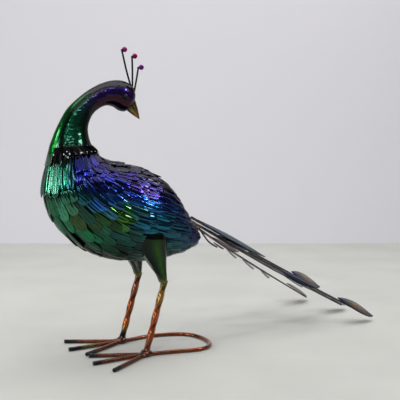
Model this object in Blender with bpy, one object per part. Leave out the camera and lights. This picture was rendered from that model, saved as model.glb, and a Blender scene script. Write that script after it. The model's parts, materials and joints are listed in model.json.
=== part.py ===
"""Peacock figurine, cut, formed and welded from lacquered sheet steel and steel bar.

The bird faces -X, its tail trails along +X, +Y is its right side and +Z is up.
Free-form tables are written in 345ths of the figure's height, so one unit of them
is 1 mm at the real height. Bars, sheets, wires and gaps have sizes of their own.
"""

import math

import bmesh
import bpy
from mathutils import Matrix, Vector
from mathutils.bvhtree import BVHTree

MM = 0.001

# Whole figure
FIGURE_HEIGHT = 345.0 * MM
UNIT = FIGURE_HEIGHT / 345.0
GAP = 0.3 * MM

# Feathered body
BODY_SIDES = 20
BODY_RINGS = 10
BODY_END = 9.6
ROW_COUNT = 10
FEATHERS_IN_ROW = 22
ROW_START = 0.03
ROW_PITCH = 0.965
FEATHER_SHEET = 0.8 * MM
FEATHER_CROWN = 0.5 * MM
ROOT_LIFT = 1.2 * MM
LAYER_LIFT = 2.4 * MM
TIP_REACH = 1.5
SHOULDER_REACH = 1.27
SHOULDER_INSET = 0.1

# Neck, head and crest
NECK_SIDES = 16
EYE_DIAMETER = 5.6 * MM
EYE_HEIGHT = 2.2 * MM
BEAK_HALF_WIDTH = 4.8 * MM
CREST_WIRE = 2.1 * MM
CREST_BEAD = 6.0 * MM

# Feet and legs
FOOT_SPACING = 63.2 * MM
TOE_BAR = 4.8 * MM
TOE_LENGTH = 62.5 * MM
TOE_SPLAY = math.radians(31.5)
TOE_ROOT_TAPER = 0.5
RIGHT_TOE_EXTRA = {"outer": 5.0 * MM, "middle": 3.0 * MM, "inner": 0.0}
TOE_GAP = 0.9 * MM
LOOP_BAR = 4.6 * MM
LEG_BAR = 6.8 * MM
LEG_TWIST_PITCH = 80.0 * MM
KNEE_HEIGHT = 81.0 * MM
KNEE_SETBACK = 24.5 * MM
THIGH_WALL = 1.2 * MM
THIGH_SIDES = 16
THIGH_CORNERS = 0.08
THIGH_REAR = 0.36

# Tail
STEM_BAR = 3.4 * MM
LEAF_SHEET = 1.1 * MM
EYE_LEAF_WIDTH = 23.0 * MM
BARB_WIDTH = 12.0 * MM
BARB_GAP = 0.7 * MM
STRIP_WIDTH = 15.0 * MM
BARB_ROLL = {"left": math.radians(34.0), "middle": math.radians(24.0),
             "right": math.radians(42.0), "short": math.radians(24.0)}
BARB_SPREAD = math.radians(9.0)

# Body sections, from the collar to the rump: top x, top z, belly x, belly z, half width
BODY_SECTIONS = (
    (-43, 228, -96, 223, 25),
    (-40, 221, -100.8, 201, 31),
    (-30, 216.5, -100.6, 175, 38),
    (-15, 214, -88, 148, 43),
    (3, 210.3, -62.5, 123.5, 46),
    (21, 203.5, -31, 109, 47),
    (37, 194, 5, 104.5, 45),
    (50, 180, 37, 105.3, 39),
    (59, 165, 61.5, 108.5, 31),
    (69, 151, 78.5, 114.8, 22),
    (80, 138, 87.5, 122, 11),
)

# Neck and head sections: outer x, outer z, inner x, inner z, half width
NECK_SECTIONS = (
    (-96, 223.8, -43, 228.6, 25),
    (-95.4, 230, -48, 233.2, 20),
    (-93.2, 237.2, -51.2, 239.7, 17.2),
    (-86.3, 253.5, -52.8, 250.2, 13.5),
    (-75.7, 271.8, -51, 259.2, 11.7),
    (-62.5, 284.7, -46.3, 267.8, 10.6),
    (-49.7, 294.2, -38.7, 274.2, 10.4),
    (-36.5, 301.4, -30, 277.7, 11.4),
    (-22.5, 305.7, -21.5, 276.7, 13.4),
    (-10, 305.8, -14.5, 272.9, 14.4),
    (0, 301, -9.5, 272, 13),
    (4, 293.7, -7.6, 272.4, 9.6),
    (4.6, 287.7, -6.2, 273.4, 6.4),
)

BEAK_TIP = Vector((10.9, 0.0, 263.8))
EYE_PLACE = Vector((-12.8, 13.6, 287.5))

# Crest wires: where each leaves the head, a point it bends through, and its bead
CREST = (
    (Vector((1.2, -1.1, 299)), Vector((-5.9, -0.9, 318)), Vector((-7.4, 0, 340.7))),
    (Vector((2.9, 0.9, 298)), Vector((2.3, 0.5, 318.7)), Vector((5.2, 0, 334.4))),
    (Vector((4, -1.1, 296)), Vector((6.9, -0.9, 310)), Vector((13.2, 0, 322.5))),
)

# The bar behind the feet, from the right foot round to the left, as x and y
LOOP_ROUTE = (
    (39, 35),
    (70, 27),
    (86, 13),
    (90.5, -9),
    (86, -31),
    (74, -43.5),
    (58, -45.5),
    (38, -40),
)

# Thigh sections: rise above the knee, then growth forwards, outwards and inwards
THIGH_SECTIONS = (
    (0, 0, 0, 0),
    (9, 3.5, 0.6, 3),
    (19, 10.5, 2, 7),
    (36, 22.5, 5.5, 12),
    (50, 30, 9, 15),
    (60, 32, 6, 18),
)

# Tail feathers: root as a place along the body, an angle round it and a rise in stem
# widths, then the sag point and the tip
TAIL_ROUTES = {
    "left": ((9.72, -0.3, 0.0), (206, -26, 73.2), (335.6, -47, 4.8)),
    "middle": ((9.6, 0.0, 0.0), (206, 11, 76.7), (350, 22, 6)),
    "right": ((9.75, 0.45, 0.0), (196, 53, 82.2), (352.5, 102, 3.0)),
    "short": ((9.5, -0.12, 1.05), (178, -2.2, 95.2), (282, -1.5, 42.4)),
    "hanging": ((9.95, -0.93, 0.0), (95.7, -11.8, 120.6), (107.5, -13.3, 112.6)),
}

# Leaf on each tail feather's end: share of the stem where it starts, length and roll
END_LEAVES = {
    "left": (0.755, 66, math.radians(30)),
    "middle": (0.8, 58, math.radians(20)),
    "right": (0.79, 62, math.radians(27)),
    "short": (0.73, 58, math.radians(34)),
}

# Barbs of each tail feather: share of the stem, length, and side (1 is the bird's left)
BARBS = {
    "left": ((0.13, 52, 1), (0.3, 52, -1), (0.46, 52, 1), (0.6, 46, -1)),
    "middle": ((0.2, 52, 1), (0.42, 52, 1), (0.6, 50, -1), (0.62, 50, 1)),
    "right": ((0.22, 56, 1), (0.37, 38, -1), (0.5, 44, -1), (0.63, 34, -1)),
    "short": ((0.24, 50, 1), (0.46, 48, -1)),
}

SIDES = {"left": -1, "right": 1}


def clear_scene():
    for item in list(bpy.data.objects):
        bpy.data.objects.remove(item, do_unlink=True)


def lacquer(name, colour, roughness=0.3, metallic=0.85):
    material = bpy.data.materials.new(name)
    material.use_nodes = True
    shader = material.node_tree.nodes["Principled BSDF"]
    shader.inputs["Base Color"].default_value = (*colour, 1.0)
    shader.inputs["Roughness"].default_value = roughness
    shader.inputs["Metallic"].default_value = metallic
    material.diffuse_color = (*colour, 1.0)
    return material


def add_solid(name, points, faces, material, parent):
    """One closed solid with its faces turned outwards."""
    mesh = bpy.data.meshes.new(name)
    mesh.from_pydata([tuple(point) for point in points], [], faces)
    work = bmesh.new()
    work.from_mesh(mesh)
    bmesh.ops.recalc_face_normals(work, faces=work.faces)
    work.to_mesh(mesh)
    work.free()
    mesh.shade_smooth()
    mesh.set_sharp_from_angle(angle=math.radians(35.0))
    mesh.materials.append(material)
    solid = bpy.data.objects.new(name, mesh)
    solid.parent = parent
    bpy.context.scene.collection.objects.link(solid)
    return solid


def loft(name, rings, material, parent, start_point=None, end_point=None):
    """A solid through rings of equal count, closed by a flat fan or a point at each end."""
    count = len(rings[0])
    points = [point for ring in rings for point in ring]
    faces = []
    for lower in range(len(rings) - 1):
        for side in range(count):
            after = (side + 1) % count
            near = lower * count
            far = near + count
            faces.append((near + side, near + after, far + after, far + side))
    for ring_index, tip in ((0, start_point), (len(rings) - 1, end_point)):
        ring = rings[ring_index]
        points.append(tip if tip is not None else sum(ring, Vector()) / count)
        for side in range(count):
            first = ring_index * count
            faces.append((first + side, first + (side + 1) % count, len(points) - 1))
    return add_solid(name, points, faces, material, parent)


def smooth_between(table, place):
    """The row of a table at a place between its rows, on a smooth curve through them."""
    last = len(table) - 1
    index = min(max(int(math.floor(place)), 0), last - 1)
    t = place - index
    before = table[max(index - 1, 0)]
    here = table[index]
    there = table[index + 1]
    beyond = table[min(index + 2, last)]
    values = []
    for a, b, c, d in zip(before, here, there, beyond):
        bend = (2 * a - 5 * b + 4 * c - d) * t + (3 * b - a - 3 * c + d) * t * t
        values.append(b + 0.5 * t * ((c - a) + bend))
    return values


def section_point(table, place, angle):
    """A point of a lofted form: angle 0 is its top or outer line, and +Y follows."""
    x1, z1, x2, z2, half_width = smooth_between(table, place)
    across = math.cos(angle)
    x = (x1 + x2) / 2 + (x1 - x2) / 2 * across
    z = (z1 + z2) / 2 + (z1 - z2) / 2 * across
    return Vector((x, half_width * math.sin(angle), z)) * UNIT


# The feather tips lie on the outline that the body sections give
OUTLINE_DEPTH = ROOT_LIFT + LAYER_LIFT * TIP_REACH + FEATHER_SHEET / 2


def body_point(place, angle, lift):
    """A point above the body's core, by its lift from the core."""
    step = 0.02
    here = section_point(BODY_SECTIONS, place, angle)
    along = section_point(BODY_SECTIONS, place + step, angle)
    along -= section_point(BODY_SECTIONS, place - step, angle)
    around = section_point(BODY_SECTIONS, place, angle + step)
    around -= section_point(BODY_SECTIONS, place, angle - step)
    outward = along.cross(around).normalized()
    return here + outward * (lift - OUTLINE_DEPTH)


def body_ring(place, sides, lift):
    return [body_point(place, math.tau * side / sides, lift) for side in range(sides)]


def make_body(material, parent):
    """The closed core under the feathers."""
    rings = []
    for ring in range(BODY_RINGS):
        rings.append(body_ring(BODY_END * ring / (BODY_RINGS - 1), BODY_SIDES, 0.0))
    return loft("body_shell", rings, material, parent)


def make_feather_row(index, material, parent):
    """One ring of feathers, joined at their roots, with free rounded tips."""
    root = ROW_START + index * ROW_PITCH
    step = math.tau / FEATHERS_IN_ROW
    phase = step / 2 * (index % 2)
    points = []
    faces = []

    def add(reach, angle, height):
        lift = ROOT_LIFT + LAYER_LIFT * reach + height
        points.append(body_point(root + reach * ROW_PITCH, angle, lift))
        return len(points) - 1

    stations = (0.0, 0.5, 1.0)
    upper_edge = []
    upper_crown = []
    lower_edge = []
    for feather in range(FEATHERS_IN_ROW):
        edge = phase + feather * step
        upper_edge.append([add(u, edge, FEATHER_SHEET) for u in stations])
        lower_edge.append([add(u, edge, 0.0) for u in stations])
        crown = FEATHER_SHEET + FEATHER_CROWN
        upper_crown.append([add(u, edge + step / 2, crown) for u in stations])
    for feather in range(FEATHERS_IN_ROW):
        after = (feather + 1) % FEATHERS_IN_ROW
        left = upper_edge[feather]
        middle = upper_crown[feather]
        right = upper_edge[after]
        under_left = lower_edge[feather]
        under_right = lower_edge[after]
        for u in range(len(stations) - 1):
            faces.append((left[u], middle[u], middle[u + 1], left[u + 1]))
            faces.append((middle[u], right[u], right[u + 1], middle[u + 1]))
            faces.append((under_left[u], under_left[u + 1], under_right[u + 1], under_right[u]))
        faces.append((left[0], under_left[0], under_right[0], right[0], middle[0]))
        start = phase + feather * step
        edge_height = FEATHER_SHEET / 2
        shoulder_left = add(SHOULDER_REACH, start + SHOULDER_INSET * step, edge_height)
        shoulder_right = add(SHOULDER_REACH, start + (1 - SHOULDER_INSET) * step, edge_height)
        tip = add(TIP_REACH, start + step / 2, edge_height)
        faces.append((middle[-1], left[-1], shoulder_left))
        faces.append((middle[-1], shoulder_left, tip))
        faces.append((middle[-1], tip, shoulder_right))
        faces.append((middle[-1], shoulder_right, right[-1]))
        faces.append((under_left[-1], tip, shoulder_left))
        faces.append((under_left[-1], under_right[-1], tip))
        faces.append((under_right[-1], shoulder_right, tip))
        faces.append((left[-1], under_left[-1], shoulder_left))
        faces.append((right[-1], shoulder_right, under_right[-1]))
    return add_solid(f"feather_row_{index + 1:02d}", points, faces, material, parent)


def make_neck(material, parent):
    """Neck and head, one formed tube that ends in a flat face behind the beak."""
    last = len(NECK_SECTIONS) - 1
    rings = []
    for half in range(2 * last + 1):
        ring = []
        for side in range(NECK_SIDES):
            ring.append(section_point(NECK_SECTIONS, half / 2, math.tau * side / NECK_SIDES))
        rings.append(ring)
    return loft("neck_and_head", rings, material, parent)


def make_beak(material, parent):
    x1, z1, x2, z2, _ = NECK_SECTIONS[-1]
    upper = Vector((x1, 0, z1)) * UNIT
    lower = Vector((x2, 0, z2)) * UNIT
    forward = Vector((upper.z - lower.z, 0, lower.x - upper.x)).normalized()
    tip = BEAK_TIP * UNIT
    sides = 10
    rings = []
    for share in (0.0, 0.25, 0.55, 0.8):
        size = 1 - 0.92 * share
        middle = (upper + lower) / 2 + forward * GAP
        middle = middle.lerp(tip, share) + forward * (0.6 * UNIT) * math.sin(math.pi * share)
        ring = []
        for side in range(sides):
            angle = math.tau * side / sides
            up = (upper - lower) / 2 * 0.93 * size * math.cos(angle)
            ring.append(middle + up + Vector((0, BEAK_HALF_WIDTH * size * math.sin(angle), 0)))
        rings.append(ring)
    return loft("beak", rings, material, parent, end_point=tip)


def surface_of(solid):
    """A search tree over a solid in the figure's own frame."""
    mesh = solid.data
    points = [vertex.co for vertex in mesh.vertices]
    return BVHTree.FromPolygons(points, [face.vertices for face in mesh.polygons])


def make_eye(side_name, head, material, parent):
    """A half-round bead standing on the side of the head."""
    side = SIDES[side_name]
    aim = EYE_PLACE * UNIT
    outside = Vector((aim.x, side * 3 * aim.y, aim.z))
    spot, outward, _, _ = head.ray_cast(outside, Vector((0, -side, 0)))
    if outward.y * side < 0:
        outward = -outward
    turn = outward.to_track_quat("Z", "Y").to_matrix()
    seat = spot + outward * (GAP * 2)
    rings = []
    for level in (0.0, 35.0, 65.0):
        radius = EYE_DIAMETER / 2 * math.cos(math.radians(level))
        height = EYE_HEIGHT * math.sin(math.radians(level))
        ring = []
        for corner in range(10):
            angle = math.tau * corner / 10
            flat = Vector((radius * math.cos(angle), radius * math.sin(angle), height))
            ring.append(seat + turn @ flat)
        rings.append(ring)
    return loft(f"{side_name}_eye", rings, material, parent, end_point=seat + outward * EYE_HEIGHT)


def curve_points(route, count):
    """Points on the smooth curve through a route."""
    table = [tuple(point) for point in route]
    reach = len(table) - 1
    return [Vector(smooth_between(table, reach * step / (count - 1))) for step in range(count)]


def bar_rings(path, diameters, sides, up=Vector((0, 0, 1)), ends=(None, None)):
    """Rings of a bar along a path, with one flat side turned away from up."""
    rings = []
    last = len(path) - 1
    for index, place in enumerate(path):
        ahead = path[min(index + 1, last)] - path[max(index - 1, 0)]
        if index == 0 and ends[0] is not None:
            ahead = ends[0]
        if index == last and ends[1] is not None:
            ahead = ends[1]
        ahead = ahead.normalized()
        across = ahead.cross(up).normalized()
        over = across.cross(ahead)
        radius = diameters[index] / 2 / math.cos(math.pi / sides)
        ring = []
        for side in range(sides):
            angle = math.tau * (side + 0.5) / sides
            ring.append(place + (over * math.cos(angle) + across * math.sin(angle)) * radius)
        rings.append(ring)
    return rings


def make_crest(number, head, wire_material, bead_material, parent):
    """A thin wire standing on the head and the bead at its end."""
    base, bend, bead = [point * UNIT for point in CREST[number]]
    inward = (base - bend).normalized()
    spot, outward, _, _ = head.ray_cast(bend, inward)
    start = spot - inward * ((GAP + CREST_WIRE * 0.6) / abs(inward.dot(outward)))
    end = bead - Vector((CREST_BEAD / 2 + GAP + CREST_WIRE * 0.6, 0, 0))
    path = curve_points((start, bend, end), 7)
    rings = bar_rings(path, [CREST_WIRE] * len(path), 6, up=Vector((0, 1, 0)))
    loft(f"crest_wire_{number + 1}", rings, wire_material, parent)
    radius = CREST_BEAD / 2
    rings = []
    for level in (-54.0, -18.0, 18.0, 54.0):
        ring = []
        for corner in range(8):
            angle = math.tau * corner / 8
            flat = Vector((math.cos(angle), math.sin(angle), 0)) * math.cos(math.radians(level))
            ring.append(bead + (flat + Vector((0, 0, math.sin(math.radians(level))))) * radius)
        rings.append(ring)
    top = bead + Vector((0, 0, radius))
    bottom = bead - Vector((0, 0, radius))
    loft(f"crest_bead_{number + 1}", rings, bead_material, parent, bottom, top)


def leg_centre(side, height):
    """The middle of a leg at a height above the floor."""
    return Vector((KNEE_SETBACK * height / KNEE_HEIGHT, side * FOOT_SPACING / 2, height))


def make_leg(side_name, material, parent):
    """A twisted square bar from the floor to the knee, cut level at both ends."""
    side = SIDES[side_name]
    steps = 13
    rings = []
    for step in range(steps + 1):
        height = (KNEE_HEIGHT - GAP) * step / steps
        turn = math.tau * height / LEG_TWIST_PITCH
        ring = []
        for corner in range(4):
            angle = math.pi / 4 + corner * math.pi / 2 + turn
            reach = LEG_BAR / math.sqrt(2)
            flat = Vector((math.cos(angle), math.sin(angle), 0)) * reach
            ring.append(leg_centre(side, height) + flat)
        rings.append(ring)
    return loft(f"{side_name}_leg", rings, material, parent)


def toe_clearance():
    """How far from a leg's middle the toes and the loop begin."""
    return LEG_BAR / math.sqrt(2) + TOE_GAP


def make_toes(side_name, material, parent):
    """Three bars that fan out from the foot and lie on the floor."""
    side = SIDES[side_name]
    foot = leg_centre(side, TOE_BAR / 2)
    tip_inset = TOE_BAR * 0.6 + GAP
    inner_turn = math.asin((FOOT_SPACING / 2 - tip_inset) / TOE_LENGTH)
    turns = {"outer": TOE_SPLAY, "middle": 0.0, "inner": -inner_turn}
    near = toe_clearance()
    taper_end = near + TOE_BAR * 1.6
    for toe_name, turn in turns.items():
        heading = Vector((-math.cos(turn), side * math.sin(turn), 0))
        length = TOE_LENGTH + (RIGHT_TOE_EXTRA[toe_name] if side > 0 else 0.0)
        path = []
        sizes = []
        for reach, size in ((near, TOE_ROOT_TAPER), (taper_end, 1.0), (length, 1.0)):
            diameter = TOE_BAR * size
            place = foot + heading * reach
            place.z = diameter / 2
            path.append(place)
            sizes.append(diameter)
        ends = (heading, heading)
        rings = bar_rings(path, sizes, 8, ends=ends)
        loft(f"{side_name}_{toe_name}_toe", rings, material, parent)


def make_rear_loop(material, parent):
    """One bent bar that joins both feet behind the bird."""
    begin = leg_centre(1, LOOP_BAR / 2) + Vector((toe_clearance() + GAP, 0, 0))
    finish = leg_centre(-1, LOOP_BAR / 2) + Vector((toe_clearance() + GAP, 0, 0))
    route = [begin]
    for x, y in LOOP_ROUTE:
        route.append(Vector((x * UNIT, y * UNIT, LOOP_BAR / 2)))
    route.append(finish)
    path = curve_points(route, 28)
    rings = bar_rings(path, [LOOP_BAR] * len(path), 8)
    return loft("rear_loop", rings, material, parent)


def make_thigh(side_name, envelope, material, parent):
    """A folded cone from the knee up to the feathers, which trim its top."""
    side = SIDES[side_name]
    knee = leg_centre(side, KNEE_HEIGHT)
    half_bar = LEG_BAR / math.sqrt(2) + THIGH_WALL / 2
    rear = knee.x + LEG_BAR * THIGH_REAR
    rings = []
    for rise, forward, outward, inward in THIGH_SECTIONS:
        front = knee.x - half_bar - forward * UNIT
        outer = half_bar + outward * UNIT
        inner = half_bar + inward * UNIT
        middle = Vector(((front + rear) / 2, knee.y + side * (outer - inner) / 2, 0))
        ring = []
        for corner in range(THIGH_SIDES):
            angle = math.tau * corner / THIGH_SIDES
            across = Vector((math.cos(angle), math.sin(angle))) * (1 + THIGH_CORNERS)
            x = (rear - front) / 2 * max(-1.0, min(1.0, across.x))
            y = (outer + inner) / 2 * max(-1.0, min(1.0, across.y))
            ring.append(middle + Vector((x, y, knee.z + rise * UNIT)))
        rings.append(ring)
    thigh = loft(f"{side_name}_thigh", rings, material, parent)
    trim = thigh.modifiers.new("Trim under feathers", "BOOLEAN")
    trim.operation = "DIFFERENCE"
    trim.solver = "EXACT"
    trim.object = envelope
    return thigh


def make_envelope(parent):
    """The space that the feathers take up, as a guide for trimming the thighs."""
    lift = OUTLINE_DEPTH + FEATHER_CROWN + GAP
    last = len(BODY_SECTIONS) - 1
    steps = 2 * BODY_RINGS - 1
    rings = []
    for ring in range(steps + 1):
        rings.append(body_ring(last * ring / steps, 2 * BODY_SIDES, lift))
    material = lacquer("guide", (0.5, 0.5, 0.5))
    envelope = loft("feather_space", rings, material, parent)
    envelope.hide_render = True
    envelope.display_type = "WIRE"
    return envelope


def tail_frame(heading, roll):
    """Across and over directions of a leaf that runs along a heading."""
    ahead = heading.normalized()
    across = ahead.cross(Vector((0, 0, 1))).normalized()
    spin = Matrix.Rotation(roll, 3, ahead)
    across = spin @ across
    return ahead, across, across.cross(ahead)


def make_leaf(name, base, heading, length, width, roll, material, parent, sag=0.06):
    """A pointed leaf cut from sheet, thickest along its middle and slightly arched."""
    ahead, across, over = tail_frame(heading, roll)
    rings = []
    for share in (0.06, 0.2, 0.38, 0.56, 0.74, 0.9):
        half = width / 2 * math.sin(math.pi * share ** 1.15) ** 0.75
        thick = LEAF_SHEET / 2
        arch = over * (sag * length * math.sin(math.pi * share))
        middle = base + ahead * (length * share) + arch
        rings.append([middle + across * half, middle + over * thick, middle - across * half,
                      middle - over * thick])
    return loft(name, rings, material, parent, base, base + ahead * length)


def tail_route(name):
    """Root, sag point and tip of a tail feather; the root stands just off the rump."""
    (place, angle, rise), sag, tip = TAIL_ROUTES[name]
    lift = OUTLINE_DEPTH + FEATHER_CROWN + GAP + STEM_BAR * 0.8
    root = body_point(place, angle, lift) + Vector((0, 0, rise * STEM_BAR))
    return root, Vector(sag) * UNIT, Vector(tip) * UNIT


def route_at(route, share):
    """A point and heading on a tail feather's stem."""
    table = [tuple(point) for point in route]
    reach = len(table) - 1
    place = Vector(smooth_between(table, reach * share))
    ahead = Vector(smooth_between(table, min(reach * share + 0.02, reach)))
    behind = Vector(smooth_between(table, max(reach * share - 0.02, 0.0)))
    return place, (ahead - behind).normalized()


def make_tail_feather(name, stem_material, eye_material, barb_material, parent):
    """A bar stem with a leaf on its end and narrow barbs along its sides."""
    route = tail_route(name)
    has_leaf = name in END_LEAVES
    stem_end = 0.985 if has_leaf else 1.0
    points = []
    for step in range(5):
        place, _ = route_at(route, stem_end * step / 4)
        points.append(place)
    thin = STEM_BAR * 0.6
    thick = STEM_BAR if has_leaf else thin
    sizes = [thick + (thin - thick) * step / 4 for step in range(5)]
    rings = bar_rings(points, sizes, 6)
    loft(f"tail_stem_{name}", rings, stem_material, parent)
    if has_leaf:
        share, length, roll = END_LEAVES[name]
        place, heading = route_at(route, share)
        _, _, over = tail_frame(heading, 0.0)
        clear = STEM_BAR / 2 / math.cos(roll) + GAP + LEAF_SHEET / 2
        make_leaf(f"tail_eye_{name}", place + over * clear, heading, length * UNIT,
                  EYE_LEAF_WIDTH, roll, eye_material, parent, sag=0.03)
    for number, (share, length, side) in enumerate(BARBS.get(name, ())):
        place, heading = route_at(route, share)
        _, across, over = tail_frame(heading, 0.0)
        offset = across * (side * (STEM_BAR / 2 + LEAF_SHEET * 0.6 + BARB_GAP))
        turned = Matrix.Rotation(-side * BARB_SPREAD, 3, over) @ heading
        make_leaf(f"tail_barb_{name}_{number + 1}", place + offset, turned, length * UNIT,
                  BARB_WIDTH, BARB_ROLL[name], barb_material, parent, sag=0.0)


def make_tail(parent):
    bronze = lacquer("tail_bronze", (0.09, 0.08, 0.085), 0.38)
    gold = lacquer("tail_gold_brown", (0.30, 0.17, 0.06), 0.34)
    slate = lacquer("tail_slate_blue", (0.07, 0.10, 0.15), 0.32)
    for name in TAIL_ROUTES:
        make_tail_feather(name, bronze, gold, slate, parent)
    place, heading = route_at(tail_route("hanging"), 0.7)
    _, _, over = tail_frame(heading, 0.0)
    lift = STEM_BAR / 2 + GAP + LEAF_SHEET
    make_leaf("tail_leaf_hanging", place + over * lift, heading, 17.0 * UNIT, BARB_WIDTH * 0.7,
              math.radians(15.0), bronze, parent, sag=0.0)
    root, heading = route_at(tail_route("left"), 0.0)
    _, across, over = tail_frame(heading, 0.0)
    lift = STEM_BAR / 2 + GAP + STRIP_WIDTH / 2 * 0.3 + LEAF_SHEET
    begin = root + over * lift + across * (STEM_BAR / 2)
    make_leaf("tail_strip_top", begin, heading, 106.0 * UNIT, STRIP_WIDTH,
              math.radians(24.0), slate, parent, sag=0.01)


def place_on_origin(root):
    """Moves the figure so that the middle of its underside is the origin."""
    bpy.context.view_layer.update()
    corners = []
    for solid in root.children:
        if not solid.hide_render:
            corners += [solid.matrix_world @ Vector(corner) for corner in solid.bound_box]
    middle_x = (min(c.x for c in corners) + max(c.x for c in corners)) / 2
    middle_y = (min(c.y for c in corners) + max(c.y for c in corners)) / 2
    root.location = (-middle_x, -middle_y, -min(c.z for c in corners))


def main():
    clear_scene()
    root = bpy.data.objects.new("peacock", None)
    bpy.context.scene.collection.objects.link(root)

    make_body(lacquer("core_black", (0.02, 0.03, 0.03), 0.5), root)
    colours = ((0.02, 0.35, 0.22), (0.02, 0.30, 0.22), (0.02, 0.22, 0.30), (0.03, 0.18, 0.42),
               (0.03, 0.14, 0.45), (0.03, 0.16, 0.40), (0.02, 0.22, 0.38), (0.02, 0.26, 0.36),
               (0.03, 0.16, 0.34), (0.06, 0.06, 0.28))
    for index in range(ROW_COUNT):
        row_lacquer = lacquer(f"feather_lacquer_{index + 1}", colours[index], 0.25)
        make_feather_row(index, row_lacquer, root)

    neck = make_neck(lacquer("neck_green", (0.01, 0.18, 0.07), 0.22), root)
    head = surface_of(neck)
    make_beak(lacquer("beak_gold", (0.42, 0.22, 0.04), 0.3), root)
    black = lacquer("gloss_black", (0.01, 0.01, 0.012), 0.12, 0.0)
    magenta = lacquer("bead_magenta", (0.35, 0.02, 0.22), 0.25, 0.4)
    for number in range(len(CREST)):
        make_crest(number, head, black, magenta, root)

    copper = lacquer("leg_copper", (0.45, 0.13, 0.03), 0.28)
    bronze = lacquer("toe_bronze", (0.22, 0.08, 0.05), 0.35)
    thigh_green = lacquer("thigh_green", (0.03, 0.09, 0.03), 0.3)
    envelope = make_envelope(root)
    for side_name in SIDES:
        make_eye(side_name, head, black, root)
        make_leg(side_name, copper, root)
        make_toes(side_name, bronze, root)
        make_thigh(side_name, envelope, thigh_green, root)
    make_rear_loop(bronze, root)
    make_tail(root)
    place_on_origin(root)


main()
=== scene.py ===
"""Looks of the peacock figurine: lacquered sheet steel feathers on a welded frame.

Lengths are metres unless a name ends in _MM. Free-form tables are in millimetres of
the bird's own frame, whose origin is the floor point midway between the feet.
"""

import json
import math

import bpy
import numpy as np
from mathutils import Matrix, Vector, noise


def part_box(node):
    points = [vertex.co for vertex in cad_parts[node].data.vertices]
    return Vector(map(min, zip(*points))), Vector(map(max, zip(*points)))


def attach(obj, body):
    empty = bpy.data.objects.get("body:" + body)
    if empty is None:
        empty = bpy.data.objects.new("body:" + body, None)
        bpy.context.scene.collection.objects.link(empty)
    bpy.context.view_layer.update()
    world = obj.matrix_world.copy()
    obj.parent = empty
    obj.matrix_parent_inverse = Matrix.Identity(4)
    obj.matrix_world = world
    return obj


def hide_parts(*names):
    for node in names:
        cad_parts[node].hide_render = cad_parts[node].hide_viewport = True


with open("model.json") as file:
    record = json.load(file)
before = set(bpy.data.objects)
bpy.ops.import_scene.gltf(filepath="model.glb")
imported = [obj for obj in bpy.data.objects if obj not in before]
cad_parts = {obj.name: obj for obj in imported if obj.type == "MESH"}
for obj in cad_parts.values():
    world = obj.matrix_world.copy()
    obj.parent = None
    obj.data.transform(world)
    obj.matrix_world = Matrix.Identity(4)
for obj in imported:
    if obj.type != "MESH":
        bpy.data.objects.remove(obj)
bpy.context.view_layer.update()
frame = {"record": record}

MM = 0.001
TAU = math.tau
DEGREE = math.pi / 180
RANDOM = np.random.default_rng(7)

# The bird's own origin, from the two foot mounts, which sit this far in front of it
FOOT_MOUNT_FORWARD = 40.0 * MM
MOUNTS = {mount["name"]: Vector(mount["pos_m"]) for mount in frame["record"]["mounts"]}
ORIGIN = (MOUNTS["left_foot_rest"] + MOUNTS["right_foot_rest"]) / 2
ORIGIN.x += FOOT_MOUNT_FORWARD

# Camera, in the bird's frame
CAMERA_PLACE_MM = Vector((-334.3, -681.6, 218.7))
CAMERA_YAW = 32.0 * DEGREE
CAMERA_PITCH = 3.5 * DEGREE
CAMERA_AHEAD = Vector((math.sin(CAMERA_YAW), math.cos(CAMERA_YAW), 0))
CAMERA_LENS = 60.0
CAMERA_SENSOR = 36.0
WALL_DISTANCE = 1724.0 * MM

# Sizes that the solids have too
GAP = 0.3 * MM
ROW_COUNT = 10
ROW_START = 0.03
ROW_PITCH = 0.965
FEATHER_SHEET = 0.8 * MM
ROOT_LIFT = 1.2 * MM
LAYER_LIFT = 2.4 * MM
TIP_REACH = 1.5
FOOT_SPACING = 63.2 * MM
TOE_BAR = 4.8 * MM
TOE_LENGTH = 62.5 * MM
TOE_SPLAY = 31.5 * DEGREE
RIGHT_TOE_EXTRA = {"outer": 5.0 * MM, "middle": 3.0 * MM, "inner": 0.0}
LOOP_BAR = 4.6 * MM
LEG_BAR = 6.8 * MM
LEG_TWIST_PITCH = 80.0 * MM
KNEE_HEIGHT = 81.0 * MM
KNEE_SETBACK = 24.5 * MM
STEM_BAR = 3.4 * MM
LEAF_SHEET = 1.1 * MM
EYE_LEAF_WIDTH = 23.0 * MM
BARB_WIDTH = 12.0 * MM
BARB_GAP = 0.7 * MM
STRIP_WIDTH = 15.0 * MM
BARB_ROLL = {"left": 34.0 * DEGREE, "middle": 24.0 * DEGREE,
             "right": 42.0 * DEGREE, "short": 24.0 * DEGREE}
BARB_SPREAD = 9.0 * DEGREE
CREST_WIRE = 2.1 * MM
CREST_BEAD = 6.0 * MM
OUTLINE_DEPTH = ROOT_LIFT + LAYER_LIFT * TIP_REACH + FEATHER_SHEET / 2

# How far along the body the last feathers reach
LAST_TIP = ROW_START + (ROW_COUNT - 1 + TIP_REACH) * ROW_PITCH

# Separate feathers: share of the way to the belly where the long chest strips begin, then
# ranges of their reach in rows of the body, and of brightness
CHEST_START = 0.6
CHEST_REACH = (1.75, 1.95)
FEATHER_REACH = (1.25, 1.6)
FEATHER_SHADES = (0.4, 1.2)
ROW_SCATTER = 0.17
SIDE_OVERLAP = 0.86
CHEST_WIDTH_MM = 9.5

# Fine relief that only the looks have
RIDGE_WIDTH = 3.4 * MM
HAMMER_PITCH = 2.6 * MM
RIB_PITCH = 3.2 * MM
VEIN_PITCH = 2.6 * MM

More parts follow.
